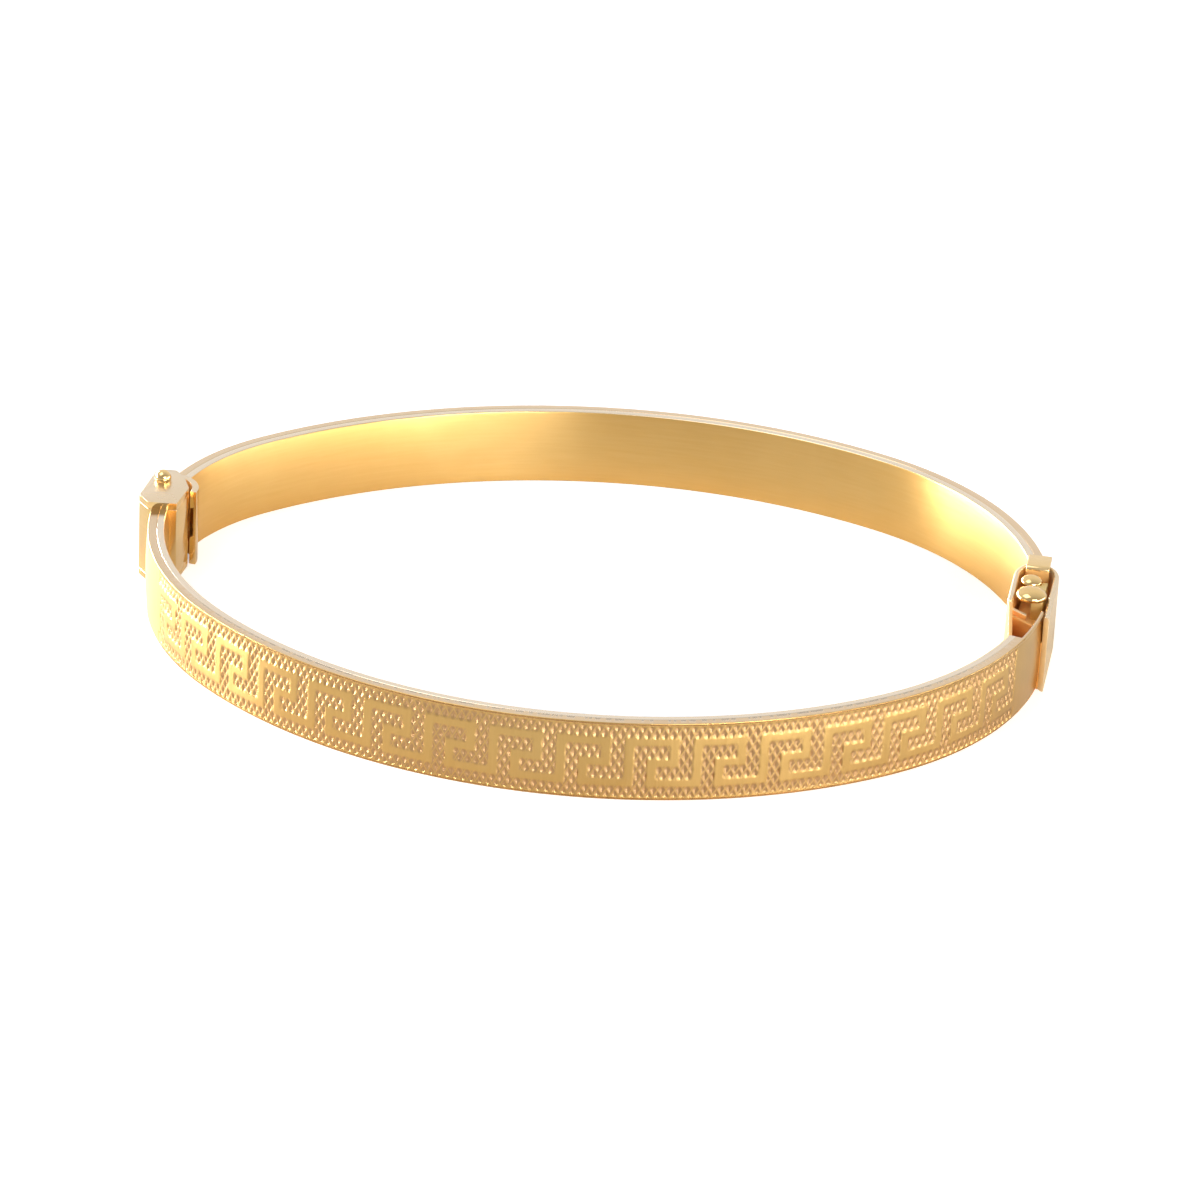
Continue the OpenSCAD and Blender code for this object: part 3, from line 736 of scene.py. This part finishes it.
spine_gold = gold("spine_gold", (0.90, 0.70, 0.30), (0.74, 0.53, 0.17), roughness=0.42, grain=1.6,
                  metal=0.35)
eased("lower_leaf", "tongue_lower_leaf", "front_half", (inside_gold,), width=0.05 * MM)
eased("upper_leaf", "tongue_upper_leaf", "catch_leaf", (inside_gold,), width=0.05 * MM)
eased("knob_spine", "thumb_spine", "catch_leaf", (spine_gold,), width=0.03 * MM)


def dome(name, node, lip, steps=16):
    """A polished dome with a small rounded lip, which fills a solid's height and width."""
    low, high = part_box(node)
    radius, rise = (high.x - low.x) / 2, high.z - low.z
    foot_in, round_in, round_up = 0.6 * lip, 0.15 * lip, 0.3 * lip
    outline = [(0, low.z), (radius - foot_in, low.z), (radius - round_in, low.z + round_up)]
    outline += [(radius * math.cos(turn), low.z + lip + (rise - lip) * math.sin(turn))
                for turn in np.linspace(0, math.pi / 2, steps)]
    turned(name, node, "catch_leaf", polished_gold, outline)


dome("thumb_dome", "thumb_knob", lip=0.12 * MM)
dome("bead_dome", "thumb_bead", lip=0.1 * MM)


# Floor, lights and camera
# A pale floor that stays white behind the bangle and keeps its shadow, soft lights from the front, left,
# right and above, and a long lens at the photograph's viewing angle.

floor_half = 2.0
reflected_glow, direct_glow = 0.06, 0.44
floor_mesh = bpy.data.meshes.new("floor")
floor_corners = ((-1, -1), (1, -1), (1, 1), (-1, 1))
floor_mesh.from_pydata([(x * floor_half, y * floor_half, 0) for x, y in floor_corners], [], [(0, 1, 2, 3)])
floor = bpy.data.objects.new("floor", floor_mesh)
bpy.context.scene.collection.objects.link(floor)
floor_paint = bpy.data.materials.new("white_floor")
floor_paint.use_nodes = True
floor_shader = floor_paint.node_tree.nodes["Principled BSDF"]
floor_shader.inputs["Base Color"].default_value = (0.9, 0.9, 0.9, 1)
floor_shader.inputs["Roughness"].default_value = 0.9
floor_shader.inputs["Specular IOR Level"].default_value = 0
floor_shader.inputs["Emission Color"].default_value = (1, 1, 1, 1)


def seen_rays(tree):
    """Two masks: rays from the camera alone, and rays from the camera or off shiny and clear surfaces."""
    camera_ray, glossy_ray, clear_ray = (
        Wire(tree).node("ShaderNodeLightPath", output=f"Is {kind} Ray")
        for kind in ("Camera", "Glossy", "Transmission"))
    return camera_ray, camera_ray.most(glossy_ray).most(clear_ray)


camera_ray, seen = seen_rays(floor_paint.node_tree)
floor_glow = seen * reflected_glow + camera_ray * direct_glow
floor_paint.node_tree.links.new(floor_glow.socket, floor_shader.inputs["Emission Strength"])
floor_mesh.materials.append(floor_paint)

ambient = 0.3
dim_room, bright_room = 0.5, 1.0
room_lean, room_falloff = 0.35, 0.8
world = bpy.data.worlds.new("studio")
world.use_nodes = True
bpy.context.scene.world = world
background = world.node_tree.nodes["Background"]
background.inputs["Color"].default_value = (1, 1, 1, 1)
wire = Wire(world.node_tree)
camera_ray, seen = seen_rays(world.node_tree)
heading = wire.node("ShaderNodeTexCoord", output="Generated")
toward_back = wire.node("ShaderNodeSeparateXYZ", {"Vector": heading}, output="Y")
toward_right = wire.node("ShaderNodeSeparateXYZ", {"Vector": heading}, output="X")
behind = ((toward_back - room_lean * toward_right) * room_falloff + 0.5).share()
room = dim_room + behind * (bright_room - dim_room)
strength = (ambient + seen * (room - ambient)).most(camera_ray)
world.node_tree.links.new(strength.socket, background.inputs["Strength"])


def seen_from(azimuth, elevation):
    """The direction from the bangle outward; azimuth 0 is to its front and a quarter turn to its right."""
    return Vector((math.sin(azimuth) * math.cos(elevation), -math.cos(azimuth) * math.cos(elevation),
                   math.sin(elevation)))


def soft_light(name, azimuth, elevation, distance, width, height, power):
    """A soft light facing the bangle, placed by angles in degrees."""
    place = distance * seen_from(math.radians(azimuth), math.radians(elevation))
    lamp = bpy.data.lights.new(name, "AREA")
    lamp.shape = "RECTANGLE"
    lamp.size = width
    lamp.size_y = height
    lamp.energy = power
    holder = bpy.data.objects.new(name, lamp)
    holder.location = place
    holder.rotation_euler = (-place).to_track_quat("-Z", "Y").to_euler()
    bpy.context.scene.collection.objects.link(holder)


soft_light("front_light", azimuth=36, elevation=22, distance=0.6, width=0.3, height=0.1, power=2.1)
soft_light("left_light", azimuth=-112, elevation=6, distance=0.5, width=0.75, height=0.08, power=10.0)
soft_light("right_light", azimuth=80, elevation=4, distance=0.5, width=0.8, height=0.06, power=1.6)
soft_light("high_light", azimuth=-60, elevation=65, distance=0.55, width=0.35, height=0.35, power=0.8)

photo_px = 1181
focal_px = 5479.834
middle_px = (596.41, 582.517)
view_azimuth, view_elevation, view_roll = (math.radians(angle) for angle in (8.741, 25.036, -3.0))
view_distance = 375.287 * MM
back = seen_from(view_azimuth, view_elevation)
level = Vector((math.cos(view_azimuth), math.sin(view_azimuth), 0))
upright = back.cross(level)
right = level * math.cos(view_roll) - upright * math.sin(view_roll)
up = level * math.sin(view_roll) + upright * math.cos(view_roll)
lens = bpy.data.cameras.new("camera")
lens.sensor_width = 36
lens.lens = focal_px / photo_px * lens.sensor_width
lens.shift_x = (photo_px / 2 - middle_px[0]) / photo_px
lens.shift_y = (middle_px[1] - photo_px / 2) / photo_px
lens.clip_start = 0.01
lens.clip_end = 10
camera = bpy.data.objects.new("camera", lens)
target = Vector((*oval_centre, band_mid))
facing_back = Matrix((right, up, back)).transposed().to_4x4()
camera.matrix_world = Matrix.Translation(target + back * view_distance) @ facing_back
bpy.context.scene.collection.objects.link(camera)
bpy.context.scene.camera = camera
bpy.context.scene.view_settings.view_transform = "Standard"
